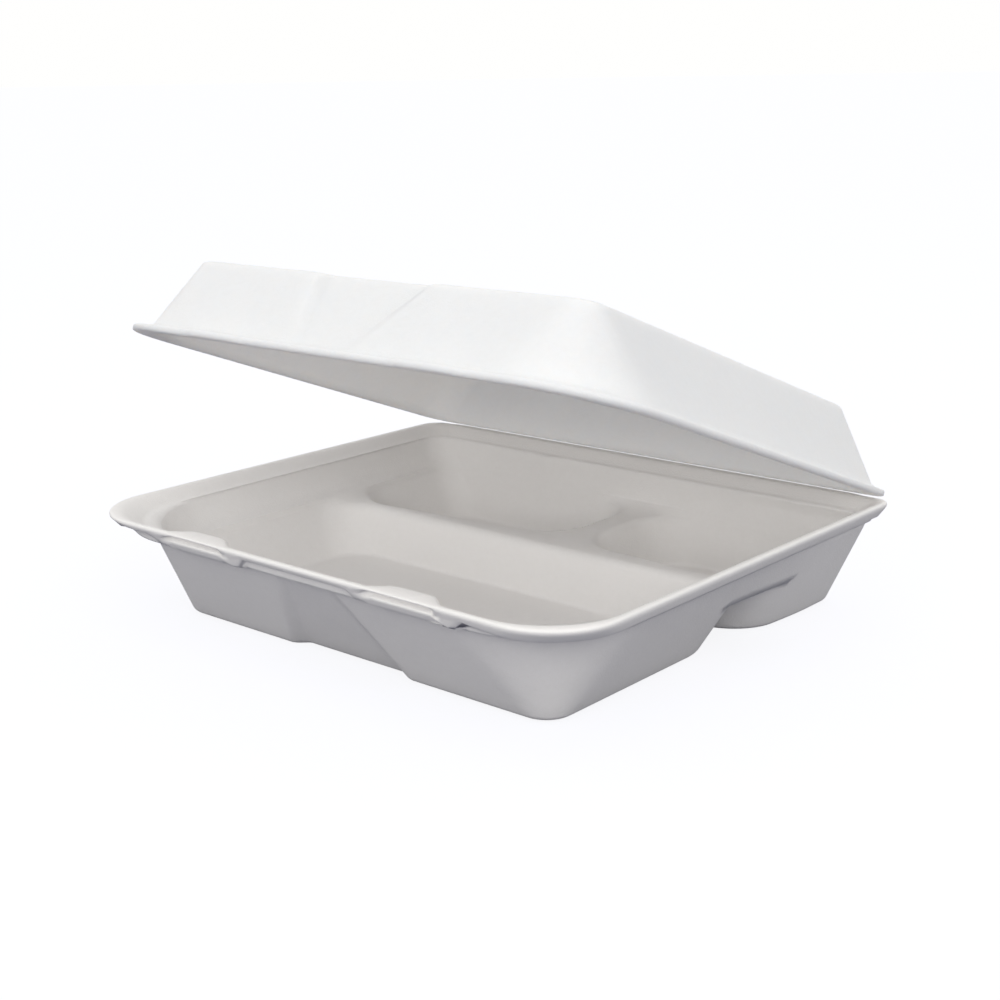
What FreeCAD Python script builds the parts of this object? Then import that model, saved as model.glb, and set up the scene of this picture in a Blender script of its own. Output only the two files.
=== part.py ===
"""Foam clamshell container: one moulded sheet of foam, folded at a crease into a tray and a lid.

Frame: +X along the front edge, +Y from the front edge to the hinge, +Z up, millimetres.
The origin is the centre of the flat underside that the tray rests on.
"""
import FreeCAD, Part
import math
import os
import Sketcher

from FreeCAD import Vector

os.makedirs("parts", exist_ok=True)
doc = FreeCAD.newDocument("foam_clamshell")

# Driving sizes

SIZES = {
    # the whole container
    "container_width": 235.0,
    "container_depth": 205.0,
    "foam_thickness": 2.4,
    # the foam is cut along a slope where a wall leans, so it measures more across
    "wall_run": 2.7,
    "flange_thickness": 2.6,
    # tray, seen from the side
    "tray_height": 42.5,
    "tray_side_inset": 26.5,
    "tray_front_inset": 27.5,
    "tray_back_inset": 8.5,
    "rim_width": 6.0,
    "rim_lean": 0.5,
    "shoulder_depth": 4.0,
    "shoulder_width": 2.4,
    "shoulder_drop": 0.6,
    "tray_foot_round": 4.0,
    # tray, corners seen from above
    "flange_corner": 27.0,
    "flange_back_corner": 9.0,
    "rim_corner": 34.0,
    "rim_back_corner": 10.0,
    "front_shoulder_corner": 46.0,
    "back_shoulder_corner": 11.0,
    "front_foot_corner": 9.0,
    "back_foot_corner": 12.0,
    # dividers and the three compartments
    "divider_height": 23.0,
    "divider_lean": 5.0,
    "front_pot_back": 23.5,
    "rear_pot_front": 34.0,
    "left_pot_edge": 5.0,
    "right_pot_edge": 19.0,
    "pot_corner": 19.0,
    "pot_corner_growth": 2.0,
    "crest_round": 3.0,
    # hinge crease and lid
    "hinge_drop": 0.6,
    "hinge_clearance": 0.3,
    "lid_open_angle": 20.2,
    "lid_side_gap": 0.5,
    "lid_front_gap": 0.6,
    "lid_height": 32.0,
    "lid_side_inset": 24.0,
    "lid_front_inset": 21.0,
    "lid_back_inset": 5.0,
    "lid_rim_width": 5.4,
    "lid_flange_corner": 33.0,
    "lid_rim_corner": 40.0,
    "lid_rim_back_corner": 12.0,
    "lid_top_corner": 7.0,
    "lid_top_round": 3.0,
    # recess pressed into the middle of both front walls
    "recess_depth": 4.2,
    "recess_shallow": 0.8,
    "recess_side_slope": 1.5,
    "recess_side_wall": 4.3,
    "tray_recess_foot": 24.5,
    "tray_recess_rim": 9.0,
    "lid_recess_top": 22.5,
    "lid_recess_rim": 9.0,
    # how deep the wall behind a recess stands in the floor or the lid's top, as a part of the foam
    "floor_overlap": 0.8,
    # closure: half-moon pads with slots in the tray, tongues on the lid
    "closure_spacing": 101.0,
    "pad_length": 40.0,
    "pad_reach": 10.0,
    "pad_thickness": 2.0,
    "slot_length": 30.0,
    "slot_height": 2.0,
    "lip_length": 42.0,
    "lip_depth": 5.0,
    "lip_taper": 8.0,
    "lip_reach": 5.0,
    "tongue_length": 27.0,
    "tongue_taper": 3.0,
    "tongue_reach": 2.2,
}

sheet = doc.addObject("Spreadsheet::Sheet", "sizes")
for row, (word, number) in enumerate(SIZES.items(), start=1):
    sheet.set(f"A{row}", word)
    sheet.set(f"B{row}", str(number))
    sheet.setAlias(f"B{row}", word)
doc.recompute()


class Size:
    """A length that is worked out from the sheet: its formula and its present value."""

    def __init__(self, formula, value):
        self.formula = formula
        self.value = value

    def joined(self, sign, other, value):
        text = other.formula if isinstance(other, Size) else str(other)
        return Size(f"({self.formula} {sign} {text})", value)

    def __add__(self, other):
        return self.joined("+", other, self.value + number_of(other))

    def __sub__(self, other):
        return self.joined("-", other, self.value - number_of(other))

    def __mul__(self, other):
        return self.joined("*", other, self.value * number_of(other))

    def __truediv__(self, other):
        return self.joined("/", other, self.value / number_of(other))

    def __neg__(self):
        return Size(f"(0 - {self.formula})", -self.value)


def number_of(length):
    return length.value if isinstance(length, Size) else length


def size(word):
    return Size(f"sizes.{word}", float(sheet.get(word)))


def share(low, high, part):
    """The length that lies at a given part of the way from low to high."""
    return low + (high - low) * part


# Sketches and features that both bodies use

def plane_of(body, role):
    return next(p for p in body.Origin.OriginFeatures if p.Role == role)


def flat_sketch(body, name, height):
    sketch = body.newObject("Sketcher::SketchObject", name)
    sketch.AttachmentSupport = (plane_of(body, "XY_Plane"), [""])
    sketch.MapMode = "FlatFace"
    sketch.setExpression("AttachmentOffset.Base.z", height.formula)
    return sketch


def place_point(sketch, axis, geometry, point, length):
    """Hold one point of a sketch at a signed distance from the origin."""
    if length.value < 0:
        index = sketch.addConstraint(Sketcher.Constraint(axis, geometry, point, -1, 1, -length.value))
        sketch.setExpression(f"Constraints[{index}]", (-length).formula)
    else:
        index = sketch.addConstraint(Sketcher.Constraint(axis, -1, 1, geometry, point, length.value))
        sketch.setExpression(f"Constraints[{index}]", length.formula)


def rounded_sketch(body, name, height, outline):
    """A rectangle with a radius of its own at each corner, at a given height."""
    left, right, front, back = outline["sides"]
    radii = outline["corners"]
    sketch = flat_sketch(body, name, height)
    corners = [(left, front, 180), (right, front, 270), (right, back, 0), (left, back, 90)]
    inward = [(1, 1), (-1, 1), (-1, -1), (1, -1)]
    for (x, y, start), (step_x, step_y), radius in zip(corners, inward, radii):
        centre = Vector(x.value + step_x * radius.value, y.value + step_y * radius.value, 0)
        circle = Part.Circle(centre, Vector(0, 0, 1), radius.value)
        arc = sketch.addGeometry(Part.ArcOfCircle(circle, math.radians(start), math.radians(start + 90)))
        index = sketch.addConstraint(Sketcher.Constraint("Radius", arc, radius.value))
        sketch.setExpression(f"Constraints[{index}]", radius.formula)
    for corner in range(4):
        after = (corner + 1) % 4
        begin = sketch.getPoint(corner, 2)
        finish = sketch.getPoint(after, 1)
        side = sketch.addGeometry(Part.LineSegment(begin, finish))
        sketch.addConstraint(Sketcher.Constraint("Tangent", corner, 2, side, 1))
        sketch.addConstraint(Sketcher.Constraint("Tangent", side, 2, after, 1))
        flat = "Horizontal" if corner in (0, 2) else "Vertical"
        sketch.addConstraint(Sketcher.Constraint(flat, side))
    place_point(sketch, "DistanceY", 4, 1, front)
    place_point(sketch, "DistanceX", 5, 1, right)
    place_point(sketch, "DistanceY", 6, 1, back)
    place_point(sketch, "DistanceX", 7, 1, left)
    return sketch


def polygon_sketch(body, name, height, *rings):
    """Closed straight-sided outlines at a given height."""
    sketch = flat_sketch(body, name, height)
    for ring in rings:
        ends = ring[1:] + ring[:1]
        sides = []
        for (x, y), (next_x, next_y) in zip(ring, ends):
            start = Vector(x.value, y.value, 0)
            end = Vector(next_x.value, next_y.value, 0)
            sides.append(sketch.addGeometry(Part.LineSegment(start, end)))
        for side, after, (x, y) in zip(sides, sides[1:] + sides[:1], ring):
            sketch.addConstraint(Sketcher.Constraint("Coincident", side, 2, after, 1))
            place_point(sketch, "DistanceX", side, 1, x)
            place_point(sketch, "DistanceY", side, 1, y)
    return sketch


def loft(body, name, sketches, cut=False):
    kind = "PartDesign::SubtractiveLoft" if cut else "PartDesign::AdditiveLoft"
    feature = body.newObject(kind, name)
    feature.Profile = sketches[0]
    feature.Sections = sketches[1:]
    feature.Ruled = True
    feature.Refine = False
    body.Tip = feature
    return feature


def extrude(body, name, sketch, length, cut=False):
    feature = body.newObject("PartDesign::Pocket" if cut else "PartDesign::Pad", name)
    feature.Profile = sketch
    feature.setExpression("Length", length.formula)
    feature.Reversed = cut
    feature.Refine = False
    body.Tip = feature
    return feature


# Shared lines of the container

foam = size("foam_thickness")
run = size("wall_run")
half_width = size("container_width") / 2
front_edge = -(size("container_depth") / 2)
back_edge = size("container_depth") / 2
tray_top = size("tray_height")
flange_under = tray_top - size("flange_thickness")
closure_x = size("closure_spacing") / 2


def outline(inset_side, inset_front, inset_back, corners):
    sides = (inset_side - half_width, half_width - inset_side,
             front_edge + inset_front, back_edge - inset_back)
    return {"sides": sides, "corners": corners}


# Tray: the wall's outer face, from the foot to the shoulder and the rim

shoulder_under = tray_top - size("shoulder_depth") - size("shoulder_drop") - foam
shoulder_inset = size("rim_width") + size("rim_lean") + size("shoulder_width") - run


def tray_outline(height, growth):
    """The leaning wall's outline at a height: growth 0 is its outer face, 1 its inner face."""
    part = height / shoulder_under
    corner_front = share(size("front_foot_corner"), size("front_shoulder_corner"), part)
    corner_back = share(size("back_foot_corner"), size("back_shoulder_corner"), part)
    insets = []
    for foot in ("tray_side_inset", "tray_front_inset", "tray_back_inset"):
        insets.append(share(size(foot), shoulder_inset, part) + run * growth)
    corners = (corner_front, corner_front, corner_back, corner_back)
    return outline(*insets, corners)


def rim_outline(inset, growth):
    front = size("rim_corner") + growth
    back = size("rim_back_corner") + growth
    return outline(inset, inset, inset, (front, front, back, back))


def pot_outline(height, growth, flare, which):
    """One compartment's outline: its divider walls lean by themselves and flare out at the crest."""
    whole = tray_outline(height, growth)
    left, right, front, back = whole["sides"]
    left_front, right_front, right_back, left_back = whole["corners"]
    top = size("divider_height")
    depth = (top - height) / top
    lean = size("divider_lean") * depth + run * (growth - 1) - flare
    corner = size("pot_corner") - size("pot_corner_growth") * depth
    if which == "front":
        back = size("front_pot_back") - lean
        corners = (left_front, right_front, corner, corner)
    if which == "rear_left":
        front = size("rear_pot_front") + lean
        right = size("left_pot_edge") - lean
        corners = (corner, corner, corner, left_back)
    if which == "rear_right":
        front = size("rear_pot_front") + lean
        left = size("right_pot_edge") + lean
        corners = (corner, corner, right_back, corner)
    return {"sides": (left, right, front, back), "corners": corners}


def stacked_loft(body, name, sections, cut=False):
    sketches = [rounded_sketch(body, f"{name}_{i}", *section) for i, section in enumerate(sections)]
    return loft(body, name, sketches, cut)


# a rounded end, as parts of its radius: how far it has risen and how far it still stands in
ROUNDING = ((0.0, 0.62), (0.12, 0.2), (0.55, 0.0))


def rounded_end(outline_at, height, reach):
    """Sections that round the closed end of a wall, from that end inwards; reach has a sign."""
    radius = reach if reach.value > 0 else -reach
    sections = []
    for rise, inset_part in ROUNDING:
        z = height + reach * rise
        left, right, front, back = outline_at(z)["sides"]
        inset = radius * inset_part
        sides = (left + inset, right - inset, front + inset, back - inset)
        sections.append((z, {"sides": sides, "corners": outline_at(z)["corners"]}))
    return sections


ground = Size("0", 0.0)
pots = ("front", "rear_left", "rear_right")
web_top = size("divider_height")
web_under = web_top - foam
web_middle = web_top - foam / 2

tray = doc.addObject("PartDesign::Body", "tray_body")
tray.Label = "tray"

outer_rim = rim_outline(size("rim_width") - run, run)
stacked_loft(tray, "upper_wall", [
    (web_under, tray_outline(web_under, 0)),
    (shoulder_under, tray_outline(shoulder_under, 0)),
    (shoulder_under + size("shoulder_drop"), outer_rim),
    (flange_under, outer_rim),
])
foot_round = size("tray_foot_round")
for which in pots:
    foot = rounded_end(lambda z: pot_outline(z, 0, ground, which), ground, foot_round)
    stacked_loft(tray, f"{which}_shell", foot + [(web_middle, pot_outline(web_middle, 0, ground, which))])
flange_corners = (size("flange_corner"),) * 2 + (size("flange_back_corner"),) * 2
flange = rounded_sketch(tray, "flange_plan", flange_under, outline(ground, ground, ground, flange_corners))
extrude(tray, "flange", flange, size("flange_thickness"))

# Tray: the hollow above the dividers, then the three compartments with their rounded crests

inner_low = shoulder_under + foam
inner_rim = size("rim_width") + size("rim_lean")
stacked_loft(tray, "upper_hollow", [
    (web_top, tray_outline(web_top, 1)),
    (inner_low, tray_outline(inner_low, 1)),
    (inner_low + size("shoulder_drop"), rim_outline(inner_rim, ground)),
    (tray_top, rim_outline(size("rim_width"), size("rim_lean"))),
], cut=True)
crest = size("crest_round")
CREST_STEPS = (1.0, 0.3, 0.0)
floor_round = foot_round - run / 2
for which in pots:
    floor = rounded_end(lambda z: pot_outline(z, 1, ground, which), foam, floor_round)
    flares = (ground, crest * CREST_STEPS[1], crest)
    heights = [web_top - crest * step for step in CREST_STEPS]
    mouth = [(z, pot_outline(z, 1, flare, which)) for z, flare in zip(heights, flares)]
    stacked_loft(tray, f"{which}_hollow", floor + mouth, cut=True)


# Recess pressed into the middle of a front wall, narrow at the rim and wide away from it

def recess(body, levels, press_bottom, press_top, back_bottom, back_top):
    """Each level gives the wall's front face, half the mouth's width and the depth, low to high."""
    slope = size("recess_side_slope")

    def ring(height, near, far, widening):
        part = (height - press_bottom) / (press_top - press_bottom)
        wall, half_mouth, depth = (share(low, high, part) for low, high in zip(*levels))
        front = wall + near
        back = wall + depth + far
        half_front = half_mouth + widening - slope * near
        half_back = half_mouth + widening - slope * (depth + far)
        return [(-half_front, front), (half_front, front), (half_back, back), (-half_back, back)]

    inner = [polygon_sketch(body, f"recess_back_{i}", z, ring(z, run / 2, run, size("recess_side_wall")))
             for i, z in enumerate((back_bottom, back_top))]
    loft(body, "recess_back", inner)
    outer = [polygon_sketch(body, f"recess_press_{i}", z, ring(z, -foam, ground, ground))
             for i, z in enumerate((press_bottom, press_top))]
    return loft(body, "recess_press", outer, cut=True)


tray_recess = [
    (front_edge + size("tray_front_inset"), size("tray_recess_foot"), size("recess_depth")),
    (front_edge + shoulder_inset, size("tray_recess_rim"), size("recess_shallow")),
]
floor_overlap = foam * size("floor_overlap")
recess(tray, tray_recess, ground, shoulder_under, floor_overlap, shoulder_under)

# Closure in the tray's front rim: a half-moon pad bridges a slot, and a lip stands out under it


def pad_segment(sketch, side):
    """A segment of a circle: its chord lies in the rim and its crown reaches into the tray."""
    rim = size("rim_width")
    half = size("pad_length") / 2
    crown = size("pad_reach") - rim
    radius = (half * half + crown * crown) / (crown * 2)
    chord = front_edge + rim / 2
    middle = closure_x * side
    centre_y = front_edge + size("pad_reach") - radius
    angle = math.acos((chord - centre_y).value / radius.value)
    circle = Part.Circle(Vector(middle.value, centre_y.value, 0), Vector(0, 0, 1), radius.value)
    arc = sketch.addGeometry(Part.ArcOfCircle(circle, math.pi / 2 - angle, math.pi / 2 + angle))
    line = sketch.addGeometry(Part.LineSegment(sketch.getPoint(arc, 2), sketch.getPoint(arc, 1)))
    sketch.addConstraint(Sketcher.Constraint("Coincident", arc, 2, line, 1))
    sketch.addConstraint(Sketcher.Constraint("Coincident", line, 2, arc, 1))
    sketch.addConstraint(Sketcher.Constraint("Horizontal", line))
    index = sketch.addConstraint(Sketcher.Constraint("Radius", arc, radius.value))
    sketch.setExpression(f"Constraints[{index}]", radius.formula)
    place_point(sketch, "DistanceX", arc, 3, middle)
    place_point(sketch, "DistanceY", arc, 3, centre_y)
    place_point(sketch, "DistanceY", line, 1, chord)


def strip(middle, half_length, front, back, taper):
    """A strip along the front edge whose back corners are drawn in by the taper."""
    return [(middle - half_length, front), (middle + half_length, front),
            (middle + half_length - taper, back), (middle - half_length + taper, back)]


sides = (-1, 1)
pad_under = tray_top - size("pad_thickness")
pads = flat_sketch(tray, "pad_plan", pad_under)
for side in sides:
    pad_segment(pads, side)
extrude(tray, "pads", pads, size("pad_thickness"))

slot_under = pad_under - size("slot_height")
lip_foot = slot_under - size("lip_depth")
lip_half = size("lip_length") / 2
lip_back = front_edge + shoulder_inset + run
lip_front = lip_back - size("lip_reach")
wall_at_foot = front_edge + share(size("tray_front_inset"), shoulder_inset, lip_foot / shoulder_under)
for side, word in zip(sides, ("left", "right")):
    middle = closure_x * side
    foot = strip(middle, lip_half - size("lip_taper"), wall_at_foot + run / 4, wall_at_foot + run / 2, ground)
    loft(tray, f"{word}_lip", [
        polygon_sketch(tray, f"{word}_lip_foot", lip_foot, foot),
        polygon_sketch(tray, f"{word}_lip_top", slot_under,
                       strip(middle, lip_half, lip_front, lip_back, ground)),
    ])
slot_half = size("slot_length") / 2
slot_back = front_edge + size("pad_reach")
slots = [strip(closure_x * side, slot_half, front_edge - foam, slot_back, ground) for side in sides]
extrude(tray, "slots", polygon_sketch(tray, "slot_plan", slot_under, *slots), size("slot_height"), cut=True)

# Lid: the same foam, built closed about the hinge crease and then turned to where it rests

lid_low = size("hinge_drop") + size("hinge_clearance")
lid_wall_low = lid_low + size("flange_thickness")
lid_top = lid_low + size("lid_height")
lid_front = size("lid_front_gap") - size("container_depth")
lid_half = half_width - size("lid_side_gap")


def lid_outline(height, growth):
    """The lid wall's outline at a height: growth 0 is its outer face, 1 its inner face."""
    part = (height - lid_wall_low) / (lid_top - lid_wall_low)
    foot = size("lid_rim_width") - run
    front_corner = share(size("lid_rim_corner"), size("lid_top_corner"), part)
    back_corner = share(size("lid_rim_back_corner"), size("lid_top_corner"), part)
    side, front, back = (share(foot, size(word), part) + run * growth
                         for word in ("lid_side_inset", "lid_front_inset", "lid_back_inset"))
    sides = (side - lid_half, lid_half - side, lid_front + front, -back)
    return {"sides": sides, "corners": (front_corner, front_corner, back_corner, back_corner)}


lid = doc.addObject("PartDesign::Body", "lid_body")
lid.Label = "lid"
top_round = size("lid_top_round")
crown = rounded_end(lambda z: lid_outline(z, 0), lid_top, -top_round)
stacked_loft(lid, "lid_shell", crown + [(lid_low, lid_outline(lid_low, 0))])
lid_flange_corners = (size("lid_flange_corner"),) * 2 + (size("flange_back_corner"),) * 2
lid_flange_plan = {"sides": (-lid_half, lid_half, lid_front, ground), "corners": lid_flange_corners}
lid_flange = rounded_sketch(lid, "lid_flange_plan", lid_low, lid_flange_plan)
extrude(lid, "lid_flange", lid_flange, size("flange_thickness"))
lid_ceiling = lid_top - foam
ceiling = rounded_end(lambda z: lid_outline(z, 1), lid_ceiling, run / 2 - top_round)
stacked_loft(lid, "lid_hollow", ceiling + [(lid_low, lid_outline(lid_low, 1))], cut=True)
lid_rim_face = lid_front + size("lid_rim_width") - run
lid_recess = [
    (lid_rim_face, size("lid_recess_rim"), size("recess_shallow")),
    (lid_front + size("lid_front_inset"), size("lid_recess_top"), size("recess_depth")),
]
recess(lid, lid_recess, lid_wall_low, lid_top, lid_wall_low, lid_top - floor_overlap)
tongue_half = size("tongue_length") / 2
tongue_end = lid_front - size("tongue_reach")
tongues = [strip(closure_x * side, tongue_half, lid_front + foam, tongue_end, size("tongue_taper"))
           for side in sides]
extrude(lid, "tongues", polygon_sketch(lid, "tongue_plan", lid_low, *tongues), size("flange_thickness"))

lid.setExpression("Placement.Base.y", back_edge.formula)
lid.setExpression("Placement.Base.z", (tray_top - size("hinge_drop")).formula)
lid.Placement.Rotation = FreeCAD.Rotation(Vector(1, 0, 0), -size("lid_open_angle").value)
lid.setExpression("Placement.Rotation.Angle", (-size("lid_open_angle")).formula)

# Check every object, then write each piece

doc.recompute()
for item in doc.Objects:
    if "Invalid" in item.State or "Error" in item.State:
        raise RuntimeError(f"{item.Name} failed: {item.State}")
for body in (tray, lid):
    shape = body.Shape
    if shape.isNull() or not shape.isValid() or len(shape.Solids) != 1:
        raise RuntimeError(f"{body.Label} isn't one valid solid")
    box = shape.BoundBox
    print(body.Label, "volume", round(shape.Volume), "box", [round(v, 2) for v in (
        box.XMin, box.YMin, box.ZMin, box.XMax, box.YMax, box.ZMax)])
    shape.exportStep(f"parts/{body.Label}.step")
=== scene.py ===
"""Foam clamshell container: a white foam tray with three compartments and its lid, standing ajar.

Metres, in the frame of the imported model: +X along the front edge, +Y to the hinge, +Z up.
The shapes below are written in millimetres and turned into metres where a mesh is made.
"""
import math

import bmesh
import bpy
import numpy as np
from mathutils import Matrix, Vector
from mathutils.geometry import delaunay_2d_cdt


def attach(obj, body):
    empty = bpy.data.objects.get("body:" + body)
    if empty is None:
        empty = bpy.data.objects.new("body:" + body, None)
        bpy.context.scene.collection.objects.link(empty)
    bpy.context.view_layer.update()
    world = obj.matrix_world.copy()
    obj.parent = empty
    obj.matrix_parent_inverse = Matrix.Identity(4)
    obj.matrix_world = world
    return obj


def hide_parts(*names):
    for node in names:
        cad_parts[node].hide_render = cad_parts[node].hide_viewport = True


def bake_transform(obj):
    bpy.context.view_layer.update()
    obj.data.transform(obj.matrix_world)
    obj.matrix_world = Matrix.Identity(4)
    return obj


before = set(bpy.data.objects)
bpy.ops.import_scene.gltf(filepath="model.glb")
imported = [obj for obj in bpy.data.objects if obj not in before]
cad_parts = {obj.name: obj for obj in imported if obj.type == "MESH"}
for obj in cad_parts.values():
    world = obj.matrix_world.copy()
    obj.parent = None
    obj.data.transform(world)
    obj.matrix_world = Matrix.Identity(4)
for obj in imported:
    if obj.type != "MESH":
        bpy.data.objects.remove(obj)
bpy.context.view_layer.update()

MM = 0.001

# Camera. It stands to the right of the front edge, a little above the rim, as in the photograph.
# The object sits left of the middle of the optical axis, so the view is shifted and not cropped.

azimuth = math.radians(42.29)
elevation = math.radians(14.87)
roll = math.radians(-0.94)
aim = Vector((0.0, 0.0, 25.0))
distance = 617.8
slide_right, slide_up = -20.74, 20.47

level_right = Vector((math.cos(azimuth), math.sin(azimuth), 0.0))
back = Vector((math.sin(azimuth) * math.cos(elevation), -math.cos(azimuth) * math.cos(elevation),
               math.sin(elevation)))
level_up = back.cross(level_right)
right = level_right * math.cos(roll) + level_up * math.sin(roll)
up = level_up * math.cos(roll) - level_right * math.sin(roll)
stand = (aim + right * slide_right + up * slide_up + back * distance) * MM

lens = bpy.data.cameras.new("camera")
lens.sensor_width = 36.0
lens.lens = 57.42
lens.shift_x = 0.069
lens.shift_y = -0.0046
lens.clip_start = 0.01
camera = bpy.data.objects.new("camera", lens)
bpy.context.scene.collection.objects.link(camera)
camera.matrix_world = Matrix((
    (right.x, up.x, back.x, stand.x),
    (right.y, up.y, back.y, stand.y),
    (right.z, up.z, back.z, stand.z),
    (0.0, 0.0, 0.0, 1.0),
))
bpy.context.scene.camera = camera

# Foam. Polystyrene foam sheet, pressed warm: a satin skin over closed cells less than a millimetre
# wide. The skin shows faint cells, long soft waves from the press and slightly uneven whiteness.

skin = bpy.data.node_groups.new("foam_skin", "ShaderNodeTree")
for name, kind, where in (("Coordinates", "NodeSocketVector", "INPUT"),
                          ("Cell size", "NodeSocketFloat", "INPUT"),
                          ("Cells", "NodeSocketFloat", "OUTPUT"),
                          ("Waves", "NodeSocketFloat", "OUTPUT"),
                          ("Mottle", "NodeSocketFloat", "OUTPUT")):
    skin.interface.new_socket(name=name, in_out=where, socket_type=kind)
skin_in = skin.nodes.new("NodeGroupInput")
skin_out = skin.nodes.new("NodeGroupOutput")
per_metre = skin.nodes.new("ShaderNodeMath")
per_metre.operation = "DIVIDE"
per_metre.inputs[0].default_value = 1.0
skin.links.new(skin_in.outputs["Cell size"], per_metre.inputs[1])
cells = skin.nodes.new("ShaderNodeTexVoronoi")
cells.feature = "F1"
cells.inputs["Randomness"].default_value = 1.0
skin.links.new(skin_in.outputs["Coordinates"], cells.inputs["Vector"])
skin.links.new(per_metre.outputs[0], cells.inputs["Scale"])
skin.links.new(cells.outputs["Distance"], skin_out.inputs["Cells"])
for output, scale, detail in (("Waves", 55.0, 2.0), ("Mottle", 420.0, 5.0)):
    noise = skin.nodes.new("ShaderNodeTexNoise")
    noise.inputs["Scale"].default_value = scale
    noise.inputs["Detail"].default_value = detail
    noise.inputs["Roughness"].default_value = 0.55
    skin.links.new(skin_in.outputs["Coordinates"], noise.inputs["Vector"])
    skin.links.new(noise.outputs["Fac"], skin_out.inputs[output])


def foam_material(name, light_depth):
    """Foam whose whiteness drifts between two near colours; light goes in to a depth, if any."""
    material = bpy.data.materials.new(name)
    material.use_nodes = True
    nodes, links = material.node_tree.nodes, material.node_tree.links
    surface = nodes["Principled BSDF"]
    surface.inputs["IOR"].default_value = 1.38
    surface.inputs["Specular IOR Level"].default_value = 0.35
    surface.inputs["Subsurface Weight"].default_value = 1.0 if light_depth else 0.0
    surface.inputs["Subsurface Radius"].default_value = (1.0, 0.92, 0.86)
    surface.inputs["Subsurface Scale"].default_value = light_depth
    place = nodes.new("ShaderNodeTexCoord")
    effect = nodes.new("ShaderNodeGroup")
    effect.node_tree = skin
    effect.inputs["Cell size"].default_value = 0.0007
    links.new(place.outputs["Object"], effect.inputs["Coordinates"])
    tint = nodes.new("ShaderNodeMix")
    tint.data_type = "RGBA"
    tint.inputs["A"].default_value = (0.938, 0.92, 0.902, 1.0)
    tint.inputs["B"].default_value = (0.985, 0.97, 0.955, 1.0)
    links.new(effect.outputs["Mottle"], tint.inputs["Factor"])
    links.new(tint.outputs["Result"], surface.inputs["Base Color"])
    gloss = nodes.new("ShaderNodeMapRange")
    gloss.inputs["To Min"].default_value = 0.42
    gloss.inputs["To Max"].default_value = 0.66
    links.new(effect.outputs["Mottle"], gloss.inputs["Value"])
    links.new(gloss.outputs["Result"], surface.inputs["Roughness"])
    pressed = nodes.new("ShaderNodeBump")
    pressed.inputs["Strength"].default_value = 0.45
    pressed.inputs["Distance"].default_value = 0.0008
    links.new(effect.outputs["Waves"], pressed.inputs["Height"])
    pitted = nodes.new("ShaderNodeBump")
    pitted.inputs["Strength"].default_value = 0.5
    pitted.inputs["Distance"].default_value = 0.0001
    links.new(effect.outputs["Cells"], pitted.inputs["Height"])
    links.new(pressed.outputs["Normal"], pitted.inputs["Normal"])
    links.new(pitted.outputs["Normal"], surface.inputs["Normal"])
    return material


# the raised lid is lit through from above, while the tray's foam is backed by what it stands on
tray_foam = foam_material("tray_foam", light_depth=0.0)
lid_foam = foam_material("lid_foam", light_depth=0.006)

# Tray. One pressed sheet of foam 2.4 mm thick: a rolled rim, a small shoulder under it, walls that
# lean outwards, and a floor pressed into three compartments with rounded dividers between them.

TRAY_WIDTH, TRAY_DEPTH, TRAY_TOP = 235.0, 205.0, 42.5
LEFT, RIGHT = -TRAY_WIDTH / 2, TRAY_WIDTH / 2
FRONT, BACK = -TRAY_DEPTH / 2, TRAY_DEPTH / 2
THICK = 2.4
# how far a leaning wall's inner face stands in from its outer one, measured level
RUN = 2.7
SHOULDER_UNDER, SHOULDER_INSET = 35.5, 6.2
DIVIDER_TOP = 23.0
# the radius that rounds the dividers' tops
CREST = 3.0
# the middle of each closure, left and right of the front's middle
CLOSURE_X = 50.5
CORNER_STEPS = 14
SIDE_STEPS = 24


def unit(vector):
    return vector / math.hypot(*vector)


def rounded_loop(corners, radii, sides):
    """A closed line round a four-sided shape: an arc at each corner and points along each side."""
    count = len(corners)
    arcs = []
    for i, radius in enumerate(radii):
        corner = np.array(corners[i])
        inward = unit(corner - np.array(corners[i - 1]))
        outward = unit(np.array(corners[(i + 1) % count]) - corner)
        turn = math.atan2(inward[0] * outward[1] - inward[1] * outward[0], float(inward @ outward))
        first = corner - inward * radius * math.tan(turn / 2)
        left_of = np.array((-inward[1], inward[0]))
        centre = first + left_of * radius
        spoke = first - centre
        arc = []
        for k in range(CORNER_STEPS + 1):
            angle = turn * k / CORNER_STEPS
            c, s = math.cos(angle), math.sin(angle)
            turned = (c * spoke[0] - s * spoke[1], s * spoke[0] + c * spoke[1])
            arc.append(centre + np.array(turned))
        arcs.append(arc)
    points = []
    for i, arc in enumerate(arcs):
        points += arc
        points += sides[i](arc[-1], arcs[(i + 1) % count][0])
    return np.array(points)


def even_side(steps):
    return lambda a, b: [a + (b - a) * k / steps for k in range(1, steps)]


def marked_side(marks, steps):
    """Points along a side that keep to given x positions, with a set count between them."""

    def points(a, b):
        stops = [a[0], *marks, b[0]]
        spans = zip(stops, stops[1:], steps)
        xs = [low + (high - low) * k / n for low, high, n in spans for k in range(n)]
        return [a + (b - a) * (x - a[0]) / (b[0] - a[0]) for x in xs[1:]]

    return points


def rectangle(left, right_, front, back_):
    return [(left, front), (right_, front), (right_, back_), (left, back_)]


def between(low, high, part):
    return low + (high - low) * part


def smooth(part):
    part = np.clip(part, 0.0, 1.0)
    return part * part * (3 - 2 * part)


# the recess in the middle of the front wall: half its mouth and how deep it is pressed in, each at
# the floor and under the shoulder, and the width of its sloping sides
RECESS_MOUTH, RECESS_PRESS = (24.5, 9.0), (4.2, 0.8)
RECESS_SIDE = 6.5


def tray_recess(z):
    part = z / SHOULDER_UNDER
    return between(*RECESS_MOUTH, part), between(*RECESS_PRESS, part)


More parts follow.
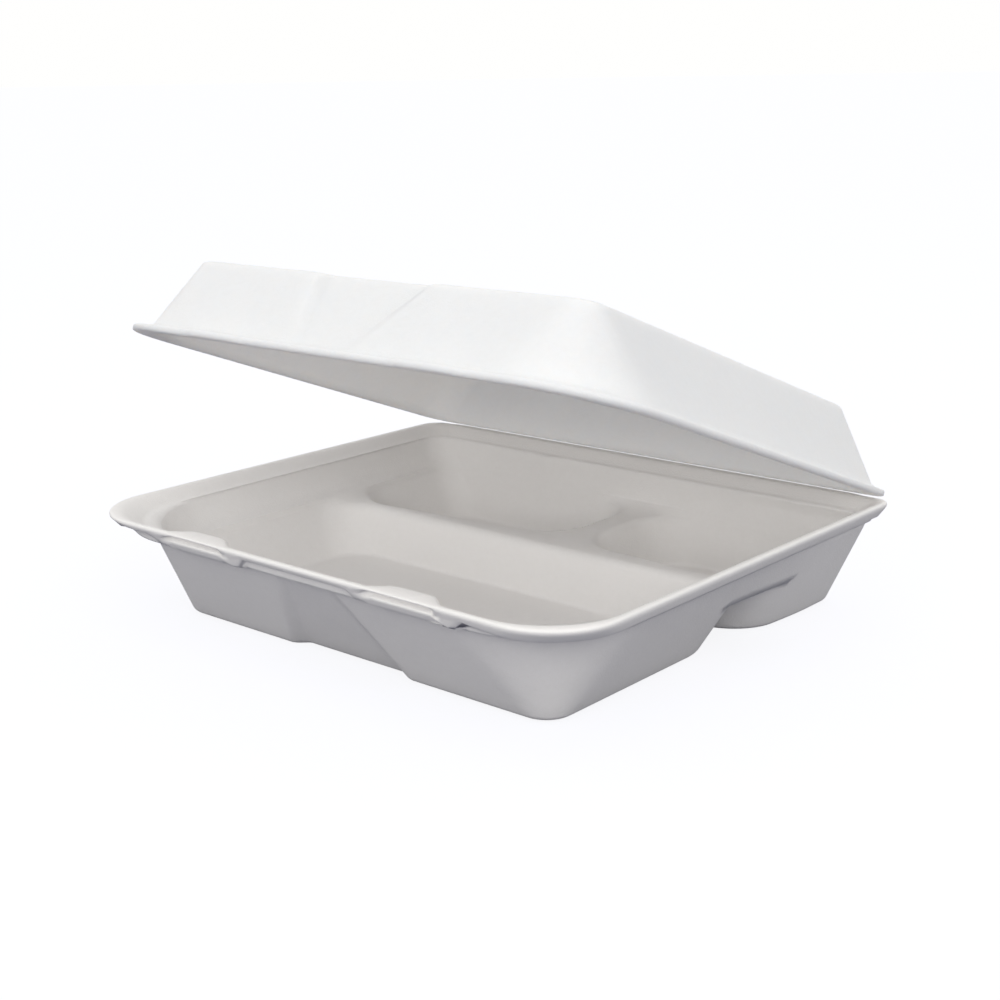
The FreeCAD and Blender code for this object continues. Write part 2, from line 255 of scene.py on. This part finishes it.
# the back side keeps to shared places along x, so that walls and compartments meet point to point
WALL_BACK = marked_side((75.0, 45.0, -17.5, -75.0), (6, 12, 25, 23, 6))
LEFT_POT_BACK = marked_side((-17.5, -75.0), (4, 23, 6))
RIGHT_POT_BACK = marked_side((75.0, 45.0), (6, 12, 4))
FRONT_STEPS = (22, 6, 14, 6, 22)


def front_marks(half_mouth):
    outer = half_mouth + RECESS_SIDE
    return marked_side((-outer, -half_mouth, half_mouth, outer), FRONT_STEPS)


def outline_sides(half_mouth):
    """Points along the front, right, back and left, shared by the walls, the rim and the lid."""
    return front_marks(half_mouth), even_side(SIDE_STEPS), WALL_BACK, even_side(SIDE_STEPS)


def pressed_in(points, line_y, half_mouth, press):
    """Push the front side back where the recess is; its sides slope and are rounded."""
    on_front = np.abs(points[:, 1] - line_y) < 0.01
    part = smooth((half_mouth + RECESS_SIDE - np.abs(points[:, 0])) / RECESS_SIDE)
    points[:, 1] += np.where(on_front, press * part, 0.0)
    return points


# shallow upright flutes in the back wall: place along x, half width and how far they stand in
FLUTES = ((-42.0, 3.6, 1.1), (-27.0, 1.6, -0.5), (57.0, 4.5, 0.7), (82.0, 3.0, 0.9))


def fluted(points, line_y, amount):
    on_back = np.abs(points[:, 1] - line_y) < 0.01
    push = np.zeros(len(points))
    for x, half, reach in FLUTES:
        push += reach * np.exp(-((points[:, 0] - x) / half) ** 2)
    points[:, 1] -= np.where(on_back, push * amount, 0.0)
    return points


# how far the floor's edge stands in from the rim at the sides, in front and behind, and the radii
# of the front and rear corners, each at the floor and under the shoulder
FOOT_INSETS = (26.5, 27.5, 8.5)
NEAR_RADII, FAR_RADII = (9.0, 46.0), (12.0, 11.0)


def tray_sides(z, growth):
    """The four walls' places at a height: growth 0 is the outer face and 1 the inner face."""
    part = z / SHOULDER_UNDER
    insets = [between(foot, SHOULDER_INSET, part) + RUN * growth for foot in FOOT_INSETS]
    side, front, back_ = insets
    return LEFT + side, RIGHT - side, FRONT + front, BACK - back_


def tray_corners(z):
    part = z / SHOULDER_UNDER
    return between(*NEAR_RADII, part), between(*FAR_RADII, part)


# the right rear corner is pressed tighter than the left one
TIGHTER = 4.0


def wall_ring(z, growth):
    """The leaning wall's line at a height, with the recess in front and the flutes behind."""
    left, right_, front, back_ = tray_sides(z, growth)
    near, far = tray_corners(z)
    half_mouth, press = tray_recess(min(z, SHOULDER_UNDER))
    radii = (near, near, far - TIGHTER, far)
    loop = rounded_loop(rectangle(left, right_, front, back_), radii, outline_sides(half_mouth))
    return z, fluted(pressed_in(loop, front, half_mouth, press), back_, growth)


# The rim in section, from the inner wall over the top and down its outer face: heights and insets.
# It hangs as a deep band at the corners and sides, and as a short one along the front. Each closure
# has a half-round pad reaching inwards over a slot, and a rounded lip under the slot.
RIM = (
    # deep band, short band, beside a slot, at a slot
    ((37.95, 8.5),) * 4,
    ((38.12, 7.8),) * 4,
    ((38.3, 7.2),) * 4,
    ((38.7, 6.6),) * 4,
    ((39.4, 5.9),) * 4,
    ((40.2, 5.0),) * 4,
    ((41.0, 4.2),) * 4,
    ((41.7, 3.4),) * 4,
    ((42.2, 2.7),) * 4,
    ((42.45, 2.0),) * 4,
    ((42.5, 1.4),) * 4,
    ((42.48, 0.8),) * 4,
    ((42.35, 0.35),) * 4,
    ((42.0, 0.08),) * 4,
    ((41.5, 0.0), (41.5, 0.0), (41.5, 0.0), (41.7, 0.1)),
    ((40.7, 0.15), (41.1, 0.05), (40.8, 0.15), (41.5, 0.5)),
    ((39.8, 0.6), (40.7, 0.3), (40.0, 0.55), (41.35, 2.7)),
    ((38.9, 1.1), (40.3, 0.5), (39.2, 0.95), (40.0, 2.9)),
    ((38.1, 1.55), (39.95, 0.75), (38.4, 1.4), (39.75, 1.0)),
    ((37.4, 1.95), (39.7, 1.1), (37.6, 1.8), (39.4, 0.4)),
    ((37.1, 2.2), (39.5, 2.0), (37.0, 2.15), (38.4, 0.9)),
    ((36.95, 2.6), (39.2, 3.0), (36.6, 2.6), (37.2, 1.6)),
    ((36.85, 3.1), (38.4, 3.3), (36.35, 3.0), (36.2, 2.2)),
    ((36.5, 3.4), (37.0, 3.35), (36.1, 3.3), (35.85, 2.9)),
    ((35.9, 3.8), (36.0, 3.7), (35.85, 3.9), (35.7, 3.8)),
    ((35.6, 5.2),) * 4,
)
# the pad's section where it reaches furthest: row, height and inset
PAD = {
    3: (38.9, 6.8), 4: (39.9, 7.4), 5: (40.6, 8.2), 6: (41.1, 8.75),
    7: (41.8, 8.9), 8: (42.3, 8.5), 9: (42.47, 7.4), 10: (42.5, 4.5),
}
PAD_HALF, PAD_FADE = 16.5, 9.0
# places along each closure from its middle: start, stop and the length over which they fade
BAND_SPAN, SLOT_SPAN, POCKET_SPAN = (-26.0, 25.0, 4.0), (-16.0, 14.5, 1.2), (14.5, 26.5, 3.5)
# beside each slot the band's foot is drawn down into a small pocket
POCKET_DROP, POCKET_FOOT = 1.1, 35.65
# the rows from this one on are the band's foot and the shoulder's corner under it
BAND_FOOT_ROW = 19
EDGE_ZONE = 3.0


def along_closures(xs, start, stop, fade):
    """A weight of 1 between two places measured from the middle of each closure."""
    weight = np.zeros(len(xs))
    for middle in (-CLOSURE_X, CLOSURE_X):
        away = xs - middle
        weight = np.maximum(weight, smooth((away - start) / fade) * smooth((stop - away) / fade))
    return weight


def rim_ring(row):
    """One line of the rim all the way round; its height and inset change with the place on it."""
    deep, short, band, slot = RIM[row]
    inset = deep[1]
    at_foot = row >= BAND_FOOT_ROW
    if at_foot and inset > EDGE_ZONE:
        near, far = 36.7, 12.7
    else:
        part = min(inset / 6.0, 1.0)
        near, far = between(27.0, 34.0, part), between(9.0, 10.0, part)
    edges = rectangle(LEFT + inset, RIGHT - inset, FRONT + inset, BACK - inset)
    sides = outline_sides(tray_recess(SHOULDER_UNDER)[0])
    loop = rounded_loop(edges, (near, near, far - TIGHTER, far), sides)
    section = np.tile((deep[0], inset), (len(loop), 1))
    xs = loop[:, 0]
    on_front = loop[:, 1] < FRONT + inset + EDGE_ZONE
    on_left = (xs < LEFT + inset + EDGE_ZONE) & ~on_front
    # the front's short band deepens in two steps towards the right corner
    deepened = 0.45 * smooth((xs - 74.0) / 6.0) + 0.55 * smooth((xs - 80.0) / 18.0)
    weights = [
        (short, np.where(on_front, 1 - deepened, 0.0)),
        (short, np.where(on_left, 1.0, 0.0)),
        (band, np.where(on_front, along_closures(xs, *BAND_SPAN), 0.0)),
        (slot, np.where(on_front, along_closures(xs, *SLOT_SPAN), 0.0)),
    ]
    if row in PAD:
        away = np.minimum(np.abs(xs - CLOSURE_X), np.abs(xs + CLOSURE_X))
        on_pad = smooth((PAD_HALF - away) / PAD_FADE)
        weights.append((PAD[row], np.where(on_front, on_pad, 0.0)))
    for target, weight in weights:
        section += (np.array(target) - section) * weight[:, None]
    if at_foot and row < len(RIM) - 2:
        pocket = np.where(on_front, along_closures(xs, *POCKET_SPAN), 0.0)
        section[:, 0] -= POCKET_DROP * pocket * smooth((41.0 - section[:, 0]) / 3.0)
        section[:, 0] = np.maximum(section[:, 0], POCKET_FOOT)
    shift = section[:, 1] - inset
    loop[:, 1] += np.where(on_front, shift, 0.0)
    loop[:, 0] += np.where(on_left, shift, 0.0)
    return section[:, 0], loop


# the compartments at divider height: the front one's back edge, then each rear one's inner edge and
# where its front edge starts and ends along y, from left to right
FRONT_POT_BACK = 23.5
LEFT_POT_EDGE, LEFT_POT_FRONT = 5.0, (28.0, 39.0)
RIGHT_POT_EDGE, RIGHT_POT_FRONT = 19.0, (37.0, 31.0)
# how far a divider's side leans from its top to the floor, and its corners' radius at both
POT_LEAN = 5.0
POT_CORNER = (19.0, 17.0)


def pot_ring(z, growth, flare, which):
    """One compartment's line: dividers lean, flare out at their tops and meet walls in arcs."""
    left, right_, front, back_ = tray_sides(z, growth)
    near, far = tray_corners(z)
    down = (DIVIDER_TOP - z) / DIVIDER_TOP
    lean = POT_LEAN * down + RUN * (growth - 1) - flare
    corner = between(*POT_CORNER, down)
    if which == "front":
        half_mouth, press = tray_recess(z)
        corners = rectangle(left, right_, front, FRONT_POT_BACK - lean)
        sides = (front_marks(half_mouth), even_side(14), even_side(60), even_side(14))
        loop = rounded_loop(corners, (near, near, corner, corner), sides)
        return z, pressed_in(loop, front, half_mouth, press)
    if which == "rear_left":
        edge = LEFT_POT_EDGE - lean
        first, last = (y + lean for y in LEFT_POT_FRONT)
        corners = [(left, first), (edge, last), (edge, back_), (left, back_)]
        radii = (corner, corner, corner, far)
        sides = (even_side(30), even_side(14), LEFT_POT_BACK, even_side(14))
    else:
        edge = RIGHT_POT_EDGE + lean
        first, last = (y + lean for y in RIGHT_POT_FRONT)
        corners = [(edge, first), (right_, last), (right_, back_), (edge, back_)]
        radii = (corner, corner, far - TIGHTER, corner)
        sides = (even_side(30), even_side(14), RIGHT_POT_BACK, even_side(14))
    return z, fluted(rounded_loop(corners, radii, sides), back_, growth)


class Sheet:
    """Collects the rings and fills of one pressed sheet, then makes its mesh."""

    def __init__(self):
        self.points = []
        self.faces = []

    def add_ring(self, ring):
        z, line = ring
        heights = np.full(len(line), z) if np.isscalar(z) else z
        start = len(self.points)
        self.points += [(x, y, h) for (x, y), h in zip(line, heights)]
        return list(range(start, start + len(line)))

    def skin(self, rings, flip=False):
        """Join rings of equal count with four-sided faces."""
        loops = [self.add_ring(ring) for ring in rings]
        for lower, upper in zip(loops, loops[1:]):
            self.join(lower, upper, flip)
        return loops[0], loops[-1]

    def join(self, lower, upper, flip=False):
        count = len(lower)
        for i in range(count):
            j = (i + 1) % count
            face = (lower[i], lower[j], upper[j], upper[i])
            self.faces.append(face[::-1] if flip else face)

    def cap(self, loop, flip=False):
        self.faces.append(tuple(loop[::-1] if flip else loop))

    def web(self, z, outer, holes, flip=False):
        """A level area inside one line and outside others."""
        points, edges = [], []
        for line in (outer, *holes):
            start = len(points)
            points += [Vector((x, y)) for x, y in line]
            edges += [(start + i, start + (i + 1) % len(line)) for i in range(len(line))]
        found, _, faces, *_ = delaunay_2d_cdt(points, edges, [], 0, 1e-4)
        start = len(self.points)
        self.points += [(p.x, p.y, z) for p in found]
        for face in faces:
            centre = sum((found[i] for i in face), Vector((0.0, 0.0))) / len(face)
            if not inside(centre, outer) or any(inside(centre, hole) for hole in holes):
                continue
            ids = tuple(start + i for i in face)
            self.faces.append(ids[::-1] if flip else ids)

    def mesh(self, name, move=None):
        form = bmesh.new()
        points = np.array(self.points)
        if move is not None:
            points = move(points)
        verts = [form.verts.new(p * MM) for p in points]
        for face in self.faces:
            if len(set(face)) > 2:
                form.faces.new([verts[i] for i in face])
        bmesh.ops.remove_doubles(form, verts=form.verts, dist=2e-6)
        bmesh.ops.triangulate(form, faces=[f for f in form.faces if len(f.verts) > 4])
        for face in form.faces:
            face.smooth = True
        data = bpy.data.meshes.new(name)
        form.to_mesh(data)
        form.free()
        piece = bpy.data.objects.new(name, data)
        bpy.context.scene.collection.objects.link(piece)
        return piece


def inside(point, line):
    """Whether a point lies within a closed line, by counting crossings."""
    x, y = point
    x0, y0 = line[:, 0], line[:, 1]
    x1, y1 = np.roll(x0, -1), np.roll(y0, -1)
    crosses = (y0 > y) != (y1 > y)
    with np.errstate(divide="ignore", invalid="ignore"):
        at = x0 + (y - y0) * (x1 - x0) / (y1 - y0)
    return bool(np.count_nonzero(crosses & (x < at)) % 2)


def inset_ring(ring, distance):
    """A ring drawn in towards its own middle by about a distance, for a flat area's border."""
    z, line = ring
    middle = (line.max(axis=0) + line.min(axis=0)) / 2
    half = (line.max(axis=0) - line.min(axis=0)) / 2
    return z, middle + (line - middle) * (1 - distance / half)


POTS = ("front", "rear_left", "rear_right")


def crest_levels(count):
    """Depths below the divider's top and how far its rounded shoulder flares there."""
    depths = [CREST * (1 - math.sin(math.pi / 2 * k / count)) for k in range(count + 1)]
    return [(d, CREST - math.sqrt(max(CREST ** 2 - (CREST - d) ** 2, 0.0))) for d in depths]


WALL_SLOPE = 0.5
ARC_STEPS = 5


def rounded_step(part):
    """Rise and inset of a point on the arc from a level sheet to a wall, for a radius of 1."""
    length = math.hypot(1, WALL_SLOPE)
    turn = part * math.acos(WALL_SLOPE / length)
    rise = 1 - math.cos(turn)
    return rise, length - WALL_SLOPE - math.sin(turn) + WALL_SLOPE * rise


def floor_rings(which, growth, level, radius):
    """The rounded foot of a compartment, from the flat of its floor up to its wall."""
    rings = []
    for k in range(ARC_STEPS + 1):
        rise, inset = rounded_step(k / ARC_STEPS)
        ring = pot_ring(level + radius * rise, growth, 0.0, which)
        rings.append(inset_ring(ring, radius * inset))
    return [inset_ring(rings[0], 2.0)] + rings


# how high the dividers' level tops run up the walls they meet, and how far away that starts
RUN_UP, RUN_UP_REACH = 2.4, 6.0


def filled_out(points):
    """The right rear compartment stands fuller than the left one, most of all at its foot."""
    x, y, z = points.T
    below_rim = 1 - smooth((z - 34.0) / 3.5)
    to_back = smooth((y - 5.0) / 70.0)
    to_right = smooth((x - 40.0) / 45.0)
    share = below_rim * to_back * to_right
    foot = 1 - np.clip(z / 36.0, 0.0, 1.0)
    left, right_, _, back_ = tray_sides(DIVIDER_TOP, 1)
    from_wall = np.minimum(np.minimum(x - left, right_ - x), back_ - y)
    lift = RUN_UP * np.clip(1 - from_wall / RUN_UP_REACH, 0.0, 1.0) ** 2
    z = np.where(np.abs(z - DIVIDER_TOP) < 0.01, z + lift, z)
    right_by, back_by = 1.2 + 4.5 * foot, 1.8 + 2.0 * foot
    return np.stack((x + share * right_by, y + share * back_by, z), axis=1)


FOOT_RADIUS = 4.0


sheet = Sheet()
for growth, level, web_z in ((1, THICK, DIVIDER_TOP), (0, 0.0, DIVIDER_TOP - THICK)):
    mouths = []
    for which in POTS:
        rings = floor_rings(which, growth, level, FOOT_RADIUS - growth * RUN / 2)
        rings += [pot_ring(z, growth, 0.0, which) for z in (6.0, 9.0, 12.0, 15.0, 18.0)]
        if growth:
            rings += [pot_ring(web_z - d, growth, flare, which) for d, flare in crest_levels(6)]
        else:
            rings.append(pot_ring(web_z, growth, 0.0, which))
        first, _ = sheet.skin(rings, flip=growth == 1)
        sheet.cap(first, flip=growth == 0)
        mouths.append(rings[-1][1])
    sheet.web(web_z, wall_ring(web_z, growth)[1], mouths, flip=growth == 0)
profile = [wall_ring(z, 1) for z in (23.0, 26.0, 29.0, 32.0, 34.5, 36.6, 37.5)]
profile += [rim_ring(row) for row in range(len(RIM))]
profile += [wall_ring(z, 0) for z in (35.4, 34.5, 32.5, 30.0, 27.0, 24.0, DIVIDER_TOP - THICK)]
sheet.skin(profile, flip=True)
tray = sheet.mesh("foam_tray", filled_out)
tray.data.materials.append(tray_foam)
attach(tray, "tray")
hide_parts("tray")

# Lid. The same sheet of foam, pressed into a shallow box with a flat rim and rounded edges. It is
# drawn closed, with its sizes taken from the crease, and then turned back to where it rests.

CREASE_Y, CREASE_Z = BACK, TRAY_TOP - 0.6
OPEN_ANGLE = math.radians(20.2)
LID_LOW = 0.9
LID_FLANGE = LID_LOW + 2.6
LID_TOP = LID_LOW + 32.0
LID_FRONT, LID_HALF = 0.6 - TRAY_DEPTH, TRAY_WIDTH / 2 - 0.5
# how far the wall stands in from the rim: at the flange, and for the top at its sides, front
# and back
FLANGE_INSET, TOP_INSETS = 2.7, (24.0, 21.1, 5.15)
# corner radii and the front recess, each at the flange and at the top
LID_NEAR_RADII, LID_FAR_RADII = (40.0, 7.0), (12.0, 7.0)
LID_MOUTH, LID_PRESS = (9.0, 22.5), (0.8, 4.2)
TOP_RADIUS = 3.0
TONGUE_REACH, TONGUE_SPAN = 2.2, (-13.5, 13.5, 3.0)


def lid_ring(z, growth):
    """The lid's leaning wall at a height: growth 0 is its outer face and 1 its inner face."""
    part = (z - LID_FLANGE) / (LID_TOP - LID_FLANGE)
    insets = [between(FLANGE_INSET, top, part) + RUN * growth for top in TOP_INSETS]
    side, front, back_ = insets
    near, far = between(*LID_NEAR_RADII, part), between(*LID_FAR_RADII, part)
    half_mouth, press = between(*LID_MOUTH, part), between(*LID_PRESS, part)
    edges = rectangle(side - LID_HALF, LID_HALF - side, LID_FRONT + front, -back_)
    loop = rounded_loop(edges, (near, near, far, far), outline_sides(half_mouth))
    return z, fluted(pressed_in(loop, LID_FRONT + front, half_mouth, press), -back_, growth)


def lid_rim_ring(z, inset, tongue):
    """A line round the lid's rim; two short tongues stand out of its front edge."""
    part = min(inset / 5.4, 1.0)
    near, far = between(33.0, 40.0, part), between(9.0, 12.0, part)
    edges = rectangle(inset - LID_HALF, LID_HALF - inset, LID_FRONT + inset, -inset)
    loop = rounded_loop(edges, (near, near, far, far), outline_sides(LID_MOUTH[0]))
    on_front = np.abs(loop[:, 1] - LID_FRONT - inset) < 0.01
    reach = TONGUE_REACH * along_closures(loop[:, 0], *TONGUE_SPAN)
    loop[:, 1] -= np.where(on_front, reach * tongue, 0.0)
    return z, loop


def lid_end(growth, level, radius):
    """The rounded edge of the lid's top, from the flat of the top out to the wall."""
    rings = []
    for k in range(ARC_STEPS + 1):
        rise, inset = rounded_step(k / ARC_STEPS)
        rings.append(inset_ring(lid_ring(level - radius * rise, growth), radius * inset))
    return [inset_ring(rings[0], 2.0)] + rings


def laid_back(points):
    """Turn the lid about the crease, from closed to where it rests."""
    x, y, z = points.T
    c, s = math.cos(OPEN_ANGLE), math.sin(OPEN_ANGLE)
    return np.stack((x, CREASE_Y + y * c + z * s, CREASE_Z - y * s + z * c), axis=1)


sheet = Sheet()
outer = lid_end(0, LID_TOP, TOP_RADIUS)
outer += [lid_ring(z, 0) for z in (27.0, 23.0, 19.0, 15.0, 11.0, 8.0, 5.6, 4.6)]
# the rim from the outer wall round its edge to the inner wall: height, inset and share of a tongue
rim = [lid_rim_ring(*row) for row in (
    (4.0, 2.6, 0.0), (3.7, 2.2, 0.2), (3.55, 1.6, 0.6), (3.5, 1.0, 1.0), (3.42, 0.4, 1.0),
    (3.1, 0.05, 1.0), (2.2, 0.0, 1.0), (1.3, 0.05, 1.0), (0.98, 0.4, 1.0), (0.9, 1.0, 1.0),
    (0.9, 2.6, 0.3), (0.92, 4.0, 0.0), (1.1, 4.8, 0.0), (1.7, 5.3, 0.0))]
inner = [lid_ring(z, 1) for z in (3.5, 5.6, 8.0, 11.0, 15.0, 19.0, 23.0, 26.0)]
inner += lid_end(1, LID_TOP - THICK, TOP_RADIUS - RUN / 2)[::-1]
first, last = sheet.skin(outer + rim + inner, flip=True)
sheet.cap(first)
sheet.cap(last, flip=True)
lid = sheet.mesh("foam_lid", laid_back)
lid.data.materials.append(lid_foam)
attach(lid, "lid")
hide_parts("lid")

# Hinge. Where tray and lid meet, the sheet is crushed to a thin line of foam that folds. It is
# drawn as a slim round bead along the crease, which keeps its place at every angle of the lid.

BEAD_RADIUS, BEAD_SIDES, BEAD_RINGS = 0.75, 12, 60
# half the bead's length, and where its taper at the ends would reach nothing
BEAD_HALF, BEAD_TIP = 107.0, 107.4
sheet = Sheet()
loops = []
for x in np.linspace(-BEAD_HALF, BEAD_HALF, BEAD_RINGS):
    thin = BEAD_RADIUS * math.sqrt(max(1 - (abs(x) / BEAD_TIP) ** 24, 0.05))
    start = len(sheet.points)
    for k in range(BEAD_SIDES):
        turn = 2 * math.pi * k / BEAD_SIDES
        sheet.points.append((x, CREASE_Y - 0.25 + thin * math.cos(turn),
                             CREASE_Z + 0.1 + thin * math.sin(turn)))
    loops.append(list(range(start, start + BEAD_SIDES)))
for lower, upper in zip(loops, loops[1:]):
    sheet.join(lower, upper)
sheet.cap(loops[0], flip=True)
sheet.cap(loops[-1])
crease = sheet.mesh("hinge_crease")
crease.data.materials.append(tray_foam)
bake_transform(crease)
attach(crease, "tray")

# Setting: a plain pale floor under a white surround. Two wide soft lamps, in front and at the
# right, shape the light, and a faint one hangs overhead. The camera sees the floor and the
# surround brighter than the light they give.

FLOOR_SEEN = 0.87
FLOOR_RADIUS, FLOOR_POINTS = 40.0, 64

floor_look = bpy.data.materials.new("pale_floor")
floor_look.use_nodes = True
nodes, links = floor_look.node_tree.nodes, floor_look.node_tree.links
matt = nodes["Principled BSDF"]
matt.inputs["Base Color"].default_value = (0.14, 0.145, 0.19, 1.0)
matt.inputs["Roughness"].default_value = 0.95
matt.inputs["Specular IOR Level"].default_value = 0.0
glow = nodes.new("ShaderNodeEmission")
glow.inputs["Strength"].default_value = FLOOR_SEEN
both = nodes.new("ShaderNodeAddShader")
chosen = nodes.new("ShaderNodeMixShader")
sight = nodes.new("ShaderNodeLightPath")
links.new(matt.outputs["BSDF"], both.inputs[0])
links.new(glow.outputs["Emission"], both.inputs[1])
links.new(sight.outputs["Is Camera Ray"], chosen.inputs["Fac"])
links.new(matt.outputs["BSDF"], chosen.inputs[1])
links.new(both.outputs["Shader"], chosen.inputs[2])
links.new(chosen.outputs["Shader"], nodes["Material Output"].inputs["Surface"])

floor_mesh = bpy.data.meshes.new("floor")
floor_edge = []
for k in range(FLOOR_POINTS):
    turn = math.tau * k / FLOOR_POINTS
    floor_edge.append((FLOOR_RADIUS * math.cos(turn), FLOOR_RADIUS * math.sin(turn), 0.0))
floor_mesh.from_pydata(floor_edge, [], [tuple(range(FLOOR_POINTS))])
floor_mesh.materials.append(floor_look)
floor = bpy.data.objects.new("floor", floor_mesh)
bpy.context.scene.collection.objects.link(floor)


# each lamp's place, width and power; all of them face the middle of the tray
LAMPS = {
    "high_lamp": ((0.1, -0.3, 1.5), 1.2, 0.8),
    "front_lamp": ((0.1, -1.5, 0.52), 0.9, 3.6),
    "side_lamp": ((1.2, -0.7, 0.7), 1.0, 4.2),
}
LAMP_COLOUR = (1.0, 0.985, 0.965)
LAMP_AIM = Vector((0.0, 0.0, 0.05))
for name, (place, width, power) in LAMPS.items():
    light = bpy.data.lights.new(name, "AREA")
    light.shape = "DISK"
    light.size = width
    light.energy = power
    light.color = LAMP_COLOUR
    lamp = bpy.data.objects.new(name, light)
    bpy.context.scene.collection.objects.link(lamp)
    lamp.location = place
    lamp.rotation_euler = (LAMP_AIM - lamp.location).to_track_quat("-Z", "Y").to_euler()

WORLD_LIGHT, WORLD_SEEN = 0.85, 1.0
studio = bpy.data.worlds.new("studio")
studio.use_nodes = True
nodes, links = studio.node_tree.nodes, studio.node_tree.links
dome = nodes["Background"]
dome.inputs["Color"].default_value = (1.0, 0.998, 0.99, 1.0)
sight = nodes.new("ShaderNodeLightPath")
seen = nodes.new("ShaderNodeMapRange")
seen.inputs["To Min"].default_value = WORLD_LIGHT
seen.inputs["To Max"].default_value = WORLD_SEEN
links.new(sight.outputs["Is Camera Ray"], seen.inputs["Value"])
links.new(seen.outputs["Result"], dome.inputs["Strength"])
bpy.context.scene.world = studio
bpy.context.scene.view_settings.view_transform = "Standard"
